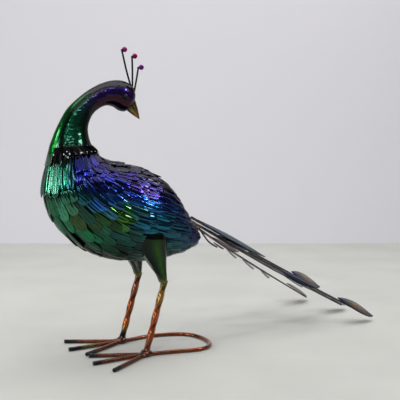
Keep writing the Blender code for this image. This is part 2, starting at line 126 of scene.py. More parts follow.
# Body sections, from the collar to the rump: top x, top z, belly x, belly z, half width
BODY_SECTIONS = np.array((
    (-43, 228, -96, 223, 25),
    (-40, 221, -100.8, 201, 31),
    (-30, 216.5, -100.6, 175, 38),
    (-15, 214, -88, 148, 43),
    (3, 210.3, -62.5, 123.5, 46),
    (21, 203.5, -31, 109, 47),
    (37, 194, 5, 104.5, 45),
    (50, 180, 37, 105.3, 39),
    (59, 165, 61.5, 108.5, 31),
    (69, 151, 78.5, 114.8, 22),
    (80, 138, 87.5, 122, 11),
)) * MM

# Neck and head sections: outer x, outer z, inner x, inner z, half width
NECK_SECTIONS = np.array((
    (-96, 223.8, -43, 228.6, 25),
    (-95.4, 230, -48, 233.2, 20),
    (-93.2, 237.2, -51.2, 239.7, 17.2),
    (-86.3, 253.5, -52.8, 250.2, 13.5),
    (-75.7, 271.8, -51, 259.2, 11.7),
    (-62.5, 284.7, -46.3, 267.8, 10.6),
    (-49.7, 294.2, -38.7, 274.2, 10.4),
    (-36.5, 301.4, -30, 277.7, 11.4),
    (-22.5, 305.7, -21.5, 276.7, 13.4),
    (-10, 305.8, -14.5, 272.9, 14.4),
    (0, 301, -9.5, 272, 13),
    (4, 293.7, -7.6, 272.4, 9.6),
    (4.6, 287.7, -6.2, 273.4, 6.4),
)) * MM

BEAK_TIP_MM = Vector((10.9, 0.0, 263.8))
BEAK_HALF_WIDTH = 4.8 * MM
EYE_DIAMETER = 5.6 * MM

# Crest wires: where each starts, its bend and its bead
CREST = np.array((
    ((1.2, -1.1, 299), (-5.9, -0.9, 318), (-7.4, 0, 340.7)),
    ((2.9, 0.9, 298), (2.3, 0.5, 318.7), (5.2, 0, 334.4)),
    ((4, -1.1, 296), (6.9, -0.9, 310), (13.2, 0, 322.5)),
)) * MM

LOOP_ROUTE_MM = ((39, 35), (70, 27), (86, 13), (90.5, -9), (86, -31), (74, -43.5), (58, -45.5),
                 (38, -40))

# Thigh sections: rise above the knee, then growth forwards, outwards and inwards
THIGH_CORNERS = 0.08
THIGH_REAR = 0.36
THIGH_SECTIONS = np.array((
    (0, 0, 0, 0),
    (9, 3.5, 0.6, 3),
    (19, 10.5, 2, 7),
    (36, 22.5, 5.5, 12),
    (50, 30, 9, 15),
    (60, 32, 6, 18),
)) * MM

# Tail feathers: root as a place along the body, an angle round it and a rise in stem
# widths, then the sag point and the tip
TAIL_ROUTES = {
    "left": ((9.72, -0.3, 0.0), (206, -26, 73.2), (335.6, -47, 4.8)),
    "middle": ((9.6, 0.0, 0.0), (206, 11, 76.7), (350, 22, 6)),
    "right": ((9.75, 0.45, 0.0), (196, 53, 82.2), (352.5, 102, 3.0)),
    "short": ((9.5, -0.12, 1.05), (178, -2.2, 95.2), (282, -1.5, 42.4)),
    "hanging": ((9.95, -0.93, 0.0), (95.7, -11.8, 120.6), (107.5, -13.3, 112.6)),
}

# Leaf on each tail feather's end: share of the stem where it starts, length and roll
END_LEAVES = {
    "left": (0.755, 66, 30 * DEGREE),
    "middle": (0.8, 58, 20 * DEGREE),
    "right": (0.79, 62, 27 * DEGREE),
    "short": (0.73, 58, 34 * DEGREE),
}

# Barbs of each tail feather: share of the stem, length, and side (1 is the bird's left)
BARBS = {
    "left": ((0.13, 52, 1), (0.3, 52, -1), (0.46, 52, 1), (0.6, 46, -1)),
    "middle": ((0.2, 52, 1), (0.42, 52, 1), (0.6, 50, -1), (0.62, 50, 1)),
    "right": ((0.22, 56, 1), (0.37, 38, -1), (0.5, 44, -1), (0.63, 34, -1)),
    "short": ((0.24, 50, 1), (0.46, 48, -1)),
}

SIDES = {"left": -1, "right": 1}


def turn_of(angle):
    """An angle brought to between half a turn back and half a turn on."""
    return (angle + math.pi) % TAU - math.pi


def round_angles(count):
    """Evenly spaced angles round a full turn."""
    return np.arange(count) * TAU / count


def smooth_rows(table, place):
    """Rows of a table at places between its rows, on a smooth curve through them."""
    place = np.asarray(place, float)
    last = len(table) - 1
    index = np.clip(np.floor(place).astype(int), 0, last - 1)
    t = (place - index)[..., None]
    a = table[np.maximum(index - 1, 0)]
    b = table[index]
    c = table[index + 1]
    d = table[np.minimum(index + 2, last)]
    bend = (2 * a - 5 * b + 4 * c - d) * t + (3 * b - a - 3 * c + d) * t * t
    return b + 0.5 * t * ((c - a) + bend)


def section_points(table, place, angle):
    """Points of a lofted form: angle 0 is its top or outer line, and +Y follows."""
    rows = smooth_rows(table, place)
    across = np.cos(angle)
    x = (rows[..., 0] + rows[..., 2]) / 2 + (rows[..., 0] - rows[..., 2]) / 2 * across
    z = (rows[..., 1] + rows[..., 3]) / 2 + (rows[..., 1] - rows[..., 3]) / 2 * across
    y = rows[..., 4] * np.sin(angle)
    return np.stack([x, y, z], -1)


def between(value, none_at, full_at):
    """0 at one end of a range and before it, 1 at its other end and beyond."""
    return np.clip((value - none_at) / (full_at - none_at), 0, 1)


def slopes(table, place, angle, step):
    """How far a lofted form's points move over two steps, along it and around it."""
    return (section_points(table, place + step, angle) - section_points(table, place - step, angle),
            section_points(table, place, angle + step) - section_points(table, place, angle - step))


def outward_of(table, place, angle):
    """Unit normals of a lofted form."""
    normal = np.cross(*slopes(table, place, angle, 0.02))
    return normal / np.linalg.norm(normal, axis=-1, keepdims=True)


def body_points(place, angle, lift):
    """Points above the body's core, by their lift from the core."""
    here = section_points(BODY_SECTIONS, place, angle)
    depth = np.asarray(lift - OUTLINE_DEPTH)[..., None]
    return here + outward_of(BODY_SECTIONS, place, angle) * depth


def body_scale(place, angle):
    """Metres along and around the body for one unit of place and of angle."""
    step = 0.05
    along, around = slopes(BODY_SECTIONS, place, angle, step)
    return np.linalg.norm(along) / (2 * step), np.linalg.norm(around) / (2 * step)


def add_object(name, data):
    thing = bpy.data.objects.new(name, data)
    bpy.context.scene.collection.objects.link(thing)
    return thing


class Mesh:
    """Points, faces and a colour for each point, gathered into one object."""

    def __init__(self):
        self.points = []
        self.faces = []
        self.colours = []
        self.facts = []
        self.count = 0

    def add(self, points, faces, colours, fact=0.0):
        """fact is one number for each point, such as how near it is to a cut rim or how deep it lies
        in a rib groove; the lacquer darkens with it, and in grooves that is painted shade.
        """
        points = np.asarray(points, float).reshape(-1, 3)
        self.points.append(points)
        self.colours.append(np.broadcast_to(colours, points.shape))
        self.facts.append(np.broadcast_to(fact, len(points)))
        self.faces += [tuple(index + self.count for index in face) for face in faces]
        self.count += len(points)

    def add_plate(self, upper, lower, colours, under=1.0, fact=0.0):
        """A thin plate between two grids; under scales the colours of the lower one, for painted shade
        on its underside.
        """
        colours = np.broadcast_to(colours, upper.shape)
        fact = np.broadcast_to(fact, upper.shape[:2])
        self.add(np.concatenate([upper, lower]), plate_faces(*upper.shape[:2]),
                 np.concatenate([colours, colours * under]).reshape(-1, 3),
                 np.concatenate([fact, fact]).ravel())

    def add_tube(self, rings, colours, fact=0.0, ends=None, tip=None):
        """A closed tube of rings, with a colour for all of it, each ring or each point."""
        colours = np.asarray(colours, float)
        if colours.ndim == 2:
            colours = colours[:, None]
        colours = np.broadcast_to(colours, rings.shape)
        if ends is None:
            ends = (colours[0, 0], colours[-1, 0])
        middles = [rings[0].mean(0), rings[-1].mean(0) if tip is None else tip]
        self.add(np.concatenate([rings.reshape(-1, 3), middles]), tube_faces(*rings.shape[:2]),
                 np.concatenate([colours.reshape(-1, 3), ends]), fact)

    def build(self, name, material, replaced, sharp=40.0):
        mesh = bpy.data.meshes.new(name)
        points = np.concatenate(self.points) + np.array(ORIGIN)
        mesh.from_pydata(points.tolist(), [], self.faces)
        colours = np.concatenate(self.colours)
        rgba = np.concatenate([colours, np.ones((len(colours), 1))], 1)
        layer = mesh.color_attributes.new("lacquer", "FLOAT_COLOR", "POINT")
        layer.data.foreach_set("color", rgba.astype(np.float32).ravel())
        extra = mesh.attributes.new("edge_and_groove_shade", "FLOAT", "POINT")
        extra.data.foreach_set("value", np.concatenate(self.facts).astype(np.float32))
        mesh.validate()
        mesh.shade_smooth()
        mesh.set_sharp_from_angle(angle=sharp * DEGREE)
        mesh.materials.append(material)
        piece = add_object(name, mesh)
        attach(piece, "root")
        if replaced:
            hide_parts(*replaced)


def grid_faces(rows, columns, closed=False, offset=0, flip=False):
    """Quads between rows of points; closed joins the last column to the first."""
    faces = []
    spans = columns if closed else columns - 1
    for row in range(rows - 1):
        for column in range(spans):
            after = (column + 1) % columns
            a = offset + row * columns + column
            b = offset + row * columns + after
            quad = (a, b, b + columns, a + columns)
            faces.append(quad[::-1] if flip else quad)
    return faces


def plate_faces(rows, columns):
    """Faces of a plate whose upper and lower grids follow each other."""
    size = rows * columns
    faces = grid_faces(rows, columns) + grid_faces(rows, columns, offset=size, flip=True)
    rim = [row * columns for row in range(rows)]
    rim += [(rows - 1) * columns + column for column in range(1, columns)]
    rim += [row * columns + columns - 1 for row in range(rows - 2, -1, -1)]
    rim += list(range(columns - 2, 0, -1))
    for first, second in zip(rim, rim[1:] + rim[:1]):
        faces.append((first, second, second + size, first + size))
    return faces


def tube_faces(rows, columns):
    """Faces of a closed tube with an end fan at each end; two end points follow."""
    faces = grid_faces(rows, columns, closed=True, flip=True)
    first = rows * columns
    for column in range(columns):
        after = (column + 1) % columns
        faces.append((column, after, first))
        base = (rows - 1) * columns
        faces.append((base + after, base + column, first + 1))
    return faces


def rgb(*values):
    return np.array(values, float)


def ramp(stops, place):
    """A colour on a list of (place, colour) stops, with smooth steps between them."""
    place = np.asarray(place, float)
    keys = np.array([stop[0] for stop in stops], float)
    colours = np.array([stop[1] for stop in stops], float)
    index = np.clip(np.searchsorted(keys, place, side="right") - 1, 0, len(keys) - 2)
    t = np.clip((place - keys[index]) / (keys[index + 1] - keys[index]), 0, 1)
    t = (t * t * (3 - 2 * t))[..., None]
    return colours[index] * (1 - t) + colours[index + 1] * t


# Lacquer colours, as linear red, green and blue
NECK_GREEN = rgb(0.012, 0.42, 0.06)
MINT = rgb(0.08, 0.36, 0.22)
EMERALD = rgb(0.005, 0.19, 0.07)
GREEN_TEAL = rgb(0.004, 0.20, 0.12)
LEAF_GREEN = rgb(0.05, 0.22, 0.012)
DEEP_GREEN = rgb(0.004, 0.075, 0.035)
DARK_LEAF = rgb(0.014, 0.085, 0.014)
DEEP_TEAL = rgb(0.003, 0.075, 0.065)
TURQUOISE = rgb(0.004, 0.17, 0.30)
AZURE = rgb(0.012, 0.14, 0.55)
ROYAL = rgb(0.008, 0.018, 0.25)
ULTRAMARINE = rgb(0.013, 0.008, 0.17)
VIOLET = rgb(0.045, 0.018, 0.17)
GREY_VIOLET = rgb(0.024, 0.019, 0.050)
NAVY = rgb(0.006, 0.012, 0.10)
MAROON = rgb(0.12, 0.006, 0.045)
BLACK = rgb(0.004, 0.004, 0.005)
COPPER = rgb(0.50, 0.11, 0.02)
GOLD = rgb(0.50, 0.26, 0.05)
BRONZE = rgb(0.17, 0.055, 0.03)
OLIVE = rgb(0.16, 0.13, 0.03)
MOSS = rgb(0.055, 0.13, 0.015)
# pale green of the painted highlight on the front of the collar
HIGHLIGHT_GREEN = rgb(0.40, 0.52, 0.44)
CLOTH_GREY = rgb(0.55, 0.55, 0.515)
BARB_FACES = (rgb(0.05, 0.05, 0.06), rgb(0.11, 0.06, 0.035), rgb(0.025, 0.035, 0.07),
              rgb(0.07, 0.055, 0.045))

# The painted highlight on each thigh, a bright band on its side towards the camera: where it is round
# the thigh, and its colour
THIGH_HIGHLIGHTS = {"left": (0.74, LEAF_GREEN * 0.30), "right": (0.68, rgb(0.16, 0.19, 0.19))}

# Lacquer from the back, 0, to the belly, 1, at places along the body
BODY_RAMPS = (
    (0.6, ((0.0, GREY_VIOLET), (0.3, ULTRAMARINE), (0.42, ROYAL), (0.58, ROYAL),
           (0.63, GREEN_TEAL * 0.6), (0.8, GREEN_TEAL * 0.7), (0.86, MINT))),
    (1.8, ((0.22, GREY_VIOLET), (0.36, ULTRAMARINE), (0.45, ROYAL), (0.57, ROYAL),
           (0.62, GREEN_TEAL * 0.6), (0.78, GREEN_TEAL * 0.8), (0.86, MINT), (1.0, MINT * 0.8))),
    (2.5, ((0.2, GREY_VIOLET), (0.32, ULTRAMARINE), (0.42, ROYAL),
           (0.51, ROYAL), (0.57, TURQUOISE * 0.7), (0.63, DEEP_TEAL), (0.7, MINT), (0.8, MINT),
           (0.87, EMERALD), (1.0, EMERALD * 0.8))),
    (3.2, ((0.18, GREY_VIOLET), (0.28, ULTRAMARINE), (0.4, ROYAL),
           (0.48, AZURE * 0.8), (0.55, AZURE), (0.6, DARK_LEAF), (0.67, DEEP_TEAL),
           (0.73, MOSS), (0.79, EMERALD * 1.3), (0.9, DEEP_GREEN * 1.3), (1.0, DEEP_GREEN))),
    (4.0, ((0.16, GREY_VIOLET), (0.24, ULTRAMARINE), (0.33, VIOLET),
           (0.4, ROYAL), (0.46, AZURE), (0.5, LEAF_GREEN), (0.57, LEAF_GREEN),
           (0.62, DARK_LEAF), (0.68, DEEP_TEAL * 1.2), (0.77, EMERALD),
           (0.86, DEEP_GREEN), (1.0, DEEP_GREEN * 0.6))),
    (4.4, ((0.16, GREY_VIOLET), (0.24, ULTRAMARINE), (0.33, VIOLET),
           (0.4, ROYAL), (0.45, AZURE), (0.5, LEAF_GREEN), (0.57, LEAF_GREEN),
           (0.62, DARK_LEAF), (0.7, DEEP_TEAL * 1.2), (0.86, DEEP_GREEN * 0.8),
           (1.0, DEEP_GREEN * 0.5))),
    (4.8, ((0.16, GREY_VIOLET), (0.24, ULTRAMARINE), (0.34, VIOLET),
           (0.4, AZURE), (0.46, TURQUOISE * 1.3), (0.53, TURQUOISE * 1.1), (0.6, DEEP_TEAL),
           (0.7, DEEP_TEAL), (0.8, DEEP_GREEN * 0.6), (1.0, DEEP_GREEN * 0.4))),
    (5.6, ((0.2, GREY_VIOLET), (0.28, ULTRAMARINE * 0.8), (0.36, ROYAL),
           (0.42, AZURE * 0.8), (0.48, TURQUOISE), (0.56, TURQUOISE * 0.6),
           (0.64, DEEP_TEAL * 0.8), (1.0, DEEP_GREEN * 0.5))),
    (6.4, ((0.2, GREY_VIOLET), (0.28, NAVY * 1.5), (0.36, AZURE * 0.7),
           (0.42, TURQUOISE * 0.6), (0.6, TURQUOISE * 0.5), (0.7, DEEP_TEAL),
           (1.0, DEEP_GREEN * 0.8))),
    (7.3, ((0.4, NAVY), (0.5, TURQUOISE * 0.5), (0.64, TURQUOISE * 0.45),
           (0.75, DEEP_TEAL), (1.0, DEEP_GREEN))),
    (8.3, ((0.3, BLACK * 3), (0.45, NAVY * 0.7), (0.6, NAVY * 1.5),
           (0.72, TURQUOISE * 0.4), (1.0, DEEP_TEAL))),
)


def body_colour(place, angle):
    """The lacquer of the feathers, by where a feather sits on the body."""
    height = abs(turn_of(angle)) / math.pi
    keys = [entry[0] for entry in BODY_RAMPS]
    index = int(np.clip(np.searchsorted(keys, place) - 1, 0, len(keys) - 2))
    t = np.clip((place - keys[index]) / (keys[index + 1] - keys[index]), 0, 1)
    return ramp(BODY_RAMPS[index][1], height) * (1 - t) + ramp(BODY_RAMPS[index + 1][1], height) * t


def set_inputs(material, node, inputs):
    """Gives a node's inputs plain values, or links them to the sockets of other nodes."""
    for key, value in inputs.items():
        if isinstance(value, bpy.types.NodeSocket):
            material.node_tree.links.new(value, node.inputs[key])
        else:
            node.inputs[key].default_value = value


def new_material(name):
    """A material and the shader that its looks are set on."""
    material = bpy.data.materials.new(name)
    material.use_nodes = True
    return material, material.node_tree.nodes["Principled BSDF"]


def object_place(material):
    return add_node(material, "ShaderNodeTexCoord").outputs["Object"]


def add_noise(material, scale, detail, rough=0.5):
    """Noise over the object's own coordinates."""
    node = add_node(material, "ShaderNodeTexNoise", {
        "Vector": object_place(material), "Scale": scale, "Detail": detail, "Roughness": rough})
    return node.outputs["Fac"]


def add_node(material, kind, inputs=None, **settings):
    node = material.node_tree.nodes.new(kind)
    for key, value in settings.items():
        setattr(node, key, value)
    set_inputs(material, node, inputs or {})
    return node


def remap(material, source, low, high, start=0.0, end=1.0):
    """Spreads a value from start..end to low..high."""
    node = add_node(material, "ShaderNodeMapRange", {
        "Value": source, "From Min": start, "From Max": end, "To Min": low, "To Max": high})
    return node.outputs["Result"]


def scale_colour(material, colour, factor):
    node = add_node(material, "ShaderNodeVectorMath", operation="SCALE")
    set_inputs(material, node, {0: colour, "Scale": factor})
    return node.outputs[0]


def mix_colour(material, factor, first, second):
    """Mixes two colours; each is a socket or a colour with its alpha."""
    node = add_node(material, "ShaderNodeMix", {0: factor, 6: first, 7: second}, data_type="RGBA")
    return node.outputs[2]


def lacquer_material(name, roughness, bump=0.25, metallic=1.0, coat=0.45, spots=0.35, glance=1.0,
                     specular=0.5):
    """Coloured lacquer over metal: mottled, darker at cut edges and, as painted shade, in rib grooves,
    with small waves.
    """
    grain = 900.0
    edge_shade = 0.25
    wave_depth = 0.4 * MM
    material, shader = new_material(name)
    colour = add_node(material, "ShaderNodeAttribute", attribute_name="lacquer").outputs["Color"]
    edge_and_groove_shade = add_node(material, "ShaderNodeAttribute", attribute_name="edge_and_groove_shade").outputs["Fac"]
    cloud = add_noise(material, grain * 0.25, 4.0, 0.6)
    tone = scale_colour(material, colour, remap(material, cloud, 1 - spots, 1 + spots, 0.3, 0.7))
    dark = scale_colour(material, tone, edge_shade)
    waves = add_node(material, "ShaderNodeBump", {
        "Strength": bump, "Distance": wave_depth, "Height": add_noise(material, grain * 0.45, 2.0)})
    set_inputs(material, shader, {
        "Base Color": mix_colour(material, edge_and_groove_shade, tone, dark),
        "Metallic": metallic,
        "Roughness": remap(material, add_noise(material, grain, 2.0), *roughness, 0.3, 0.7),
        "Normal": waves.outputs["Normal"],
        "Coat Weight": coat,
        "Coat Roughness": 0.06,
        "Specular Tint": (glance, glance, glance, 1.0),
        "Specular IOR Level": specular})
    return material


def make_camera():
    data = bpy.data.cameras.new("camera")
    data.lens = CAMERA_LENS
    data.sensor_width = CAMERA_SENSOR
    data.clip_start = 0.02
    camera = add_object("camera", data)
    camera.location = CAMERA_PLACE_MM * MM + ORIGIN
    forward = CAMERA_AHEAD * math.cos(CAMERA_PITCH)
    forward.z = -math.sin(CAMERA_PITCH)
    camera.rotation_euler = forward.to_track_quat("-Z", "Y").to_euler()
    bpy.context.scene.camera = camera
    bpy.context.scene.view_settings.view_transform = "Standard"


def cloth_material():
    """Pale cloth with soft wide shadows in it."""
    material, shader = new_material("stage_floor")
    tone = remap(material, add_noise(material, 7.0, 3.0), 0.0, 1.0, 0.35, 0.6)
    shaded = mix_colour(material, tone, (*CLOTH_GREY * 0.93, 1.0), (*CLOTH_GREY, 1.0))
    set_inputs(material, shader, {"Base Color": shaded, "Roughness": 0.75})
    return material


def wall_material():
    """Pale wall, a little lighter near the floor: painted light to even out the wall light, which
    falls weaker low down.
    """
    material, shader = new_material("stage_wall")
    parts = add_node(material, "ShaderNodeSeparateXYZ", {"Vector": object_place(material)})
    height = remap(material, parts.outputs["Z"], 0.0, 1.0, 0.0, 0.6)
    shaded = mix_colour(material, height, (0.76, 0.75, 0.79, 1.0), (0.65, 0.64, 0.675, 1.0))
    set_inputs(material, shader, {"Base Color": shaded, "Roughness": 0.9})
    return material


def make_stage():
    """A pale floor and a pale wall behind it."""
    half_width = 4.0
    back = 0.5
    height = 3.0
    side = Vector((CAMERA_AHEAD.y, -CAMERA_AHEAD.x, 0))
    start = CAMERA_PLACE_MM * MM + ORIGIN
    start.z = 0.0
    points = []
    for reach, rise in ((-back, 0.0), (WALL_DISTANCE, 0.0), (WALL_DISTANCE, height)):
        for way in (-half_width, half_width):
            points.append(start + CAMERA_AHEAD * reach + side * way + Vector((0, 0, rise)))
    mesh = bpy.data.meshes.new("stage")
    mesh.from_pydata([tuple(point) for point in points], [], [(0, 1, 3, 2), (2, 3, 5, 4)])
    mesh.materials.append(cloth_material())
    mesh.materials.append(wall_material())
    mesh.polygons[1].material_index = 1
    stage = add_object("stage", mesh)


def add_light(name, place_mm, aim_mm, size, power, stretch=1.0):
    data = bpy.data.lights.new(name, "AREA")
    data.shape = "RECTANGLE"
    data.size = size
    data.size_y = size * stretch
    data.energy = power
    light = add_object(name, data)
    light.location = Vector(place_mm) * MM + ORIGIN
    heading = (Vector(aim_mm) - Vector(place_mm)) * MM
    light.rotation_euler = heading.to_track_quat("-Z", "Y").to_euler()


def make_lights():
    """A soft light overhead, narrow bright strips for the streaks, and the wall's own light."""
    add_light("overhead", (-50, -250, 1800), (-50, -100, 0), 1.9, 9.0)
    add_light("left_strip", (-1250, -250, 600), (-60, 0, 200), 0.10, 4.0, stretch=8.0)
    add_light("back_left_strip", (-1100, 450, 520), (-80, 0, 190), 0.12, 4.0, stretch=7.0)
    add_light("breast_strip", (-900, -1000, 800), (-50, 0, 180), 0.08, 2.4, stretch=8.0)
    add_light("front_strip", (-250, -1300, 1500), (0, 0, 170), 0.9, 2.3, stretch=0.12)
    add_light("right_box", (800, -850, 1050), (0, 0, 180), 0.22, 3.6)
    add_light("rear_box", (900, 150, 1200), (0, 0, 180), 0.4, 1.6)
    add_light("wall_wash", (100, 350, 1700), (400, 1300, 300), 1.8, 17.0)
    world = bpy.data.worlds.new("studio")
    world.use_nodes = True
    background = world.node_tree.nodes["Background"]
    background.inputs["Color"].default_value = (0.95, 0.96, 1.0, 1.0)
    background.inputs["Strength"].default_value = 0.11
    bpy.context.scene.world = world


def feather_plate(mesh, place, angle, length, width, colour, yaw, roll, base_lift, curl,
                  tip_start, ridges):
    """One curved strip of sheet metal with pressed ridges, lying along the body, its colour darkened
    by painted shade towards the root, in the valleys between the ridges and on its underside.
    """
    rows = 12
    columns = 13
    thickness = 0.5 * MM
    arch = 0.12
    ridge_depth = 0.5 * MM
    root_share = 0.6
    # painted shade: the lower side of the plate is darker
    under_shade = 0.4
    along_scale, around_scale = body_scale(place + 0.5 * ROW_PITCH, angle)
    u = 1 - (1 - np.linspace(0, 1, rows)[:, None]) ** 1.3
    v = np.linspace(-1, 1, columns)[None, :]
    tip = between(u, tip_start, 1)
    swell = root_share + (1 - root_share) * np.sin(np.clip(u / 0.6, 0, 1) * math.pi / 2)
    half = width / 2 * swell * np.sqrt(np.clip(1 - 0.985 * tip ** 2, 0, 1))
    across = v * half
    along = length * u
    place_here = place + (along * math.cos(yaw) - across * math.sin(yaw)) / along_scale
    angle_here = angle + (across * math.cos(yaw) + along * math.sin(yaw)) / around_scale
    lift = ROOT_LIFT + base_lift + LAYER_LIFT * along / (along_scale * ROW_PITCH)
    lift = lift + arch * half * (1 - v ** 2)
    pressed = (1 - np.cos(math.pi * ridges * (v + 1))) / 2
    lift = lift + ridge_depth * pressed * np.sin(np.clip(u * 1.04, 0, 1) * math.pi) ** 0.5
    lift = lift + math.tan(roll) * across + curl * np.clip(u - 0.55, 0, 1) ** 2 * length
    rim = np.maximum(np.abs(v) ** 10, tip ** 14)
    # painted shade: darker towards the root, which lies beneath the feathers that lap over it, and in
    # the valleys between the pressed ridges
    shade = (0.3 + 0.8 * np.clip(u * 1.15, 0, 1)) * (0.55 + 0.6 * pressed)
    mesh.add_plate(body_points(place_here, angle_here, lift + thickness),
                   body_points(place_here, angle_here, lift),
                   colour * shade[..., None], under_shade, rim)


def feather_width(place, height):
    """Width of the feathers by place along the body and height, 0 at the back."""
    chest = between(place, 1.6, 0.0)
    widths = np.interp(height, (0.0, 0.25, 0.5, 0.62, 0.8, 1.0), (6.5, 7.0, 7.4, 8.8, 11.5, 12.0))
    rear = 1 + 0.25 * between(place, 6.0, 8.0)
    return (CHEST_WIDTH_MM * chest + (1 - chest) * widths * rear) * MM


def make_feathers(material):
    """Rings of separate feathers in place of the joined ones, two rings for each."""
    for index in range(ROW_COUNT):
        mesh = Mesh()
        for half_row in (0, 1):
            ring_place = ROW_START + (index + 0.5 * half_row) * ROW_PITCH
            angle = RANDOM.uniform(0, 0.2)
            finish = angle + TAU
            while angle < finish - 0.03:
                height = abs(turn_of(angle)) / math.pi
                along_scale, around_scale = body_scale(ring_place + 0.7 * ROW_PITCH, angle)
                chest = index == 0 and height > CHEST_START
                if chest and half_row == 1:
                    angle += 0.05
                    continue
                width = feather_width(ring_place, height) * RANDOM.uniform(0.8, 1.2)
                back = between(height, 0.34, 0.0)
                place = ring_place
                if ring_place > ROW_START:
                    place += RANDOM.uniform(-ROW_SCATTER, ROW_SCATTER)
                reach = min(RANDOM.uniform(*FEATHER_REACH), (LAST_TIP - place) / ROW_PITCH)
                if chest:
                    reach = RANDOM.uniform(*CHEST_REACH)
                colour = body_colour(place + 1.15 * ROW_PITCH, angle + RANDOM.normal(0, 0.08))
                feather_plate(
                    mesh, place, angle, along_scale * ROW_PITCH * reach, width,
                    colour * RANDOM.uniform(*FEATHER_SHADES), yaw=RANDOM.normal(0, 0.07 + 0.12 * back),
                    roll=RANDOM.normal(0, 0.12), base_lift=RANDOM.uniform(0, 0.9 + back) * MM,
                    curl=RANDOM.uniform(0.0, 0.10), tip_start=RANDOM.uniform(0.74, 0.86),
                    ridges=max(1, round(width / RIDGE_WIDTH + RANDOM.uniform(-0.6, 0.4))))
                angle += width * SIDE_OVERLAP / around_scale
        mesh.build(f"feathers_{index + 1:02d}", material, (f"feather_row_{index + 1:02d}",))


def make_core(material):
    place, angle = np.meshgrid(np.linspace(0.0, 9.6, 24), round_angles(48), indexing="ij")
    mesh = Mesh()
    # painted shade: the core is black so that the gaps between the feathers look shaded
    mesh.add_tube(body_points(place, angle, 0.0), BLACK * 2)
    mesh.build("body_core", material, ("body_shell",))


def neck_colour(place, angle):
    """Lacquer of the neck and head, by place along it and angle from its outer line."""
    turn = np.abs(turn_of(angle)) / math.pi
    low = ramp(((0.0, NECK_GREEN * 0.5), (0.08, NECK_GREEN * 0.7), (0.15, NECK_GREEN * 0.4),
                (0.21, DEEP_GREEN * 0.3), (0.27, DEEP_GREEN * 0.3), (0.33, DEEP_GREEN * 1.4),
                (0.46, DEEP_GREEN * 1.4), (0.56, DEEP_GREEN * 0.6), (0.7, DEEP_GREEN * 0.3),
                (0.8, BLACK * 4), (1.0, GREY_VIOLET * 0.5)), turn)
    high = ramp(((0.0, BLACK * 4), (0.2, BLACK * 3), (0.33, BLACK * 3), (0.41, VIOLET),
                 (0.52, VIOLET), (0.6, MAROON * 0.22), (0.76, MAROON * 0.2), (0.86, NAVY * 0.5)),
                turn)
    t = between(place, 3.6, 6.0)[..., None]
    foot = (between(place, 2.04, 0.84) * between(turn, 0.17, 0.27))[..., None]
    colour = (low * (1 - t) + high * t) * (1 - foot) + BLACK * 1.5 * foot
    face = (between(place, 9.4, 10.8) * between(np.abs(turn - 0.4), 0.35, 0.0))[..., None]
    return colour * (1 - face) + MAROON * 0.6 * face


def hammered(points, depth):
    """Depth of small round hammer marks at points in space."""
    marks = []
    for point in points.reshape(-1, 3):
        distances = noise.voronoi(Vector(point) / HAMMER_PITCH)[0]
        marks.append(max(0.0, 1.0 - (distances[0] * 1.35) ** 2) * depth)
    return np.array(marks).reshape(points.shape[:-1])


def make_neck(material):
    """Hammered neck and head with a fine pressed ridge on each side."""
    last = len(NECK_SECTIONS) - 1
    place, angle = np.meshgrid(np.linspace(0, last, 190), round_angles(120), indexing="ij")
    surface = section_points(NECK_SECTIONS, place, angle)
    turn = np.abs(turn_of(angle))
    quiet = np.exp(-((turn - 1.35) / 0.6) ** 4) * between(place, 10.4, 9.2)
    ridge_at = 0.42 + 0.25 * between(place, 0.0, 5.0)
    ridge = np.exp(-((turn - ridge_at) / 0.045) ** 2) * between(place, 6.5, 5.0)
    lift = 0.35 * MM * ridge - hammered(surface, 0.25 * MM) * quiet
    mesh = Mesh()
    mesh.add_tube(neck_point(place, angle, lift), neck_colour(place, angle), ends=(BLACK, BLACK))
    mesh.build("neck", material, ("neck_and_head",), sharp=60.0)


def neck_point(place, angle, lift):
    """Points above the neck's surface."""
    here = section_points(NECK_SECTIONS, place, angle)
    last = len(NECK_SECTIONS) - 1
    out = outward_of(NECK_SECTIONS, np.clip(place, 0.03, last - 0.03), angle)
    return here + out * np.asarray(lift)[..., None]


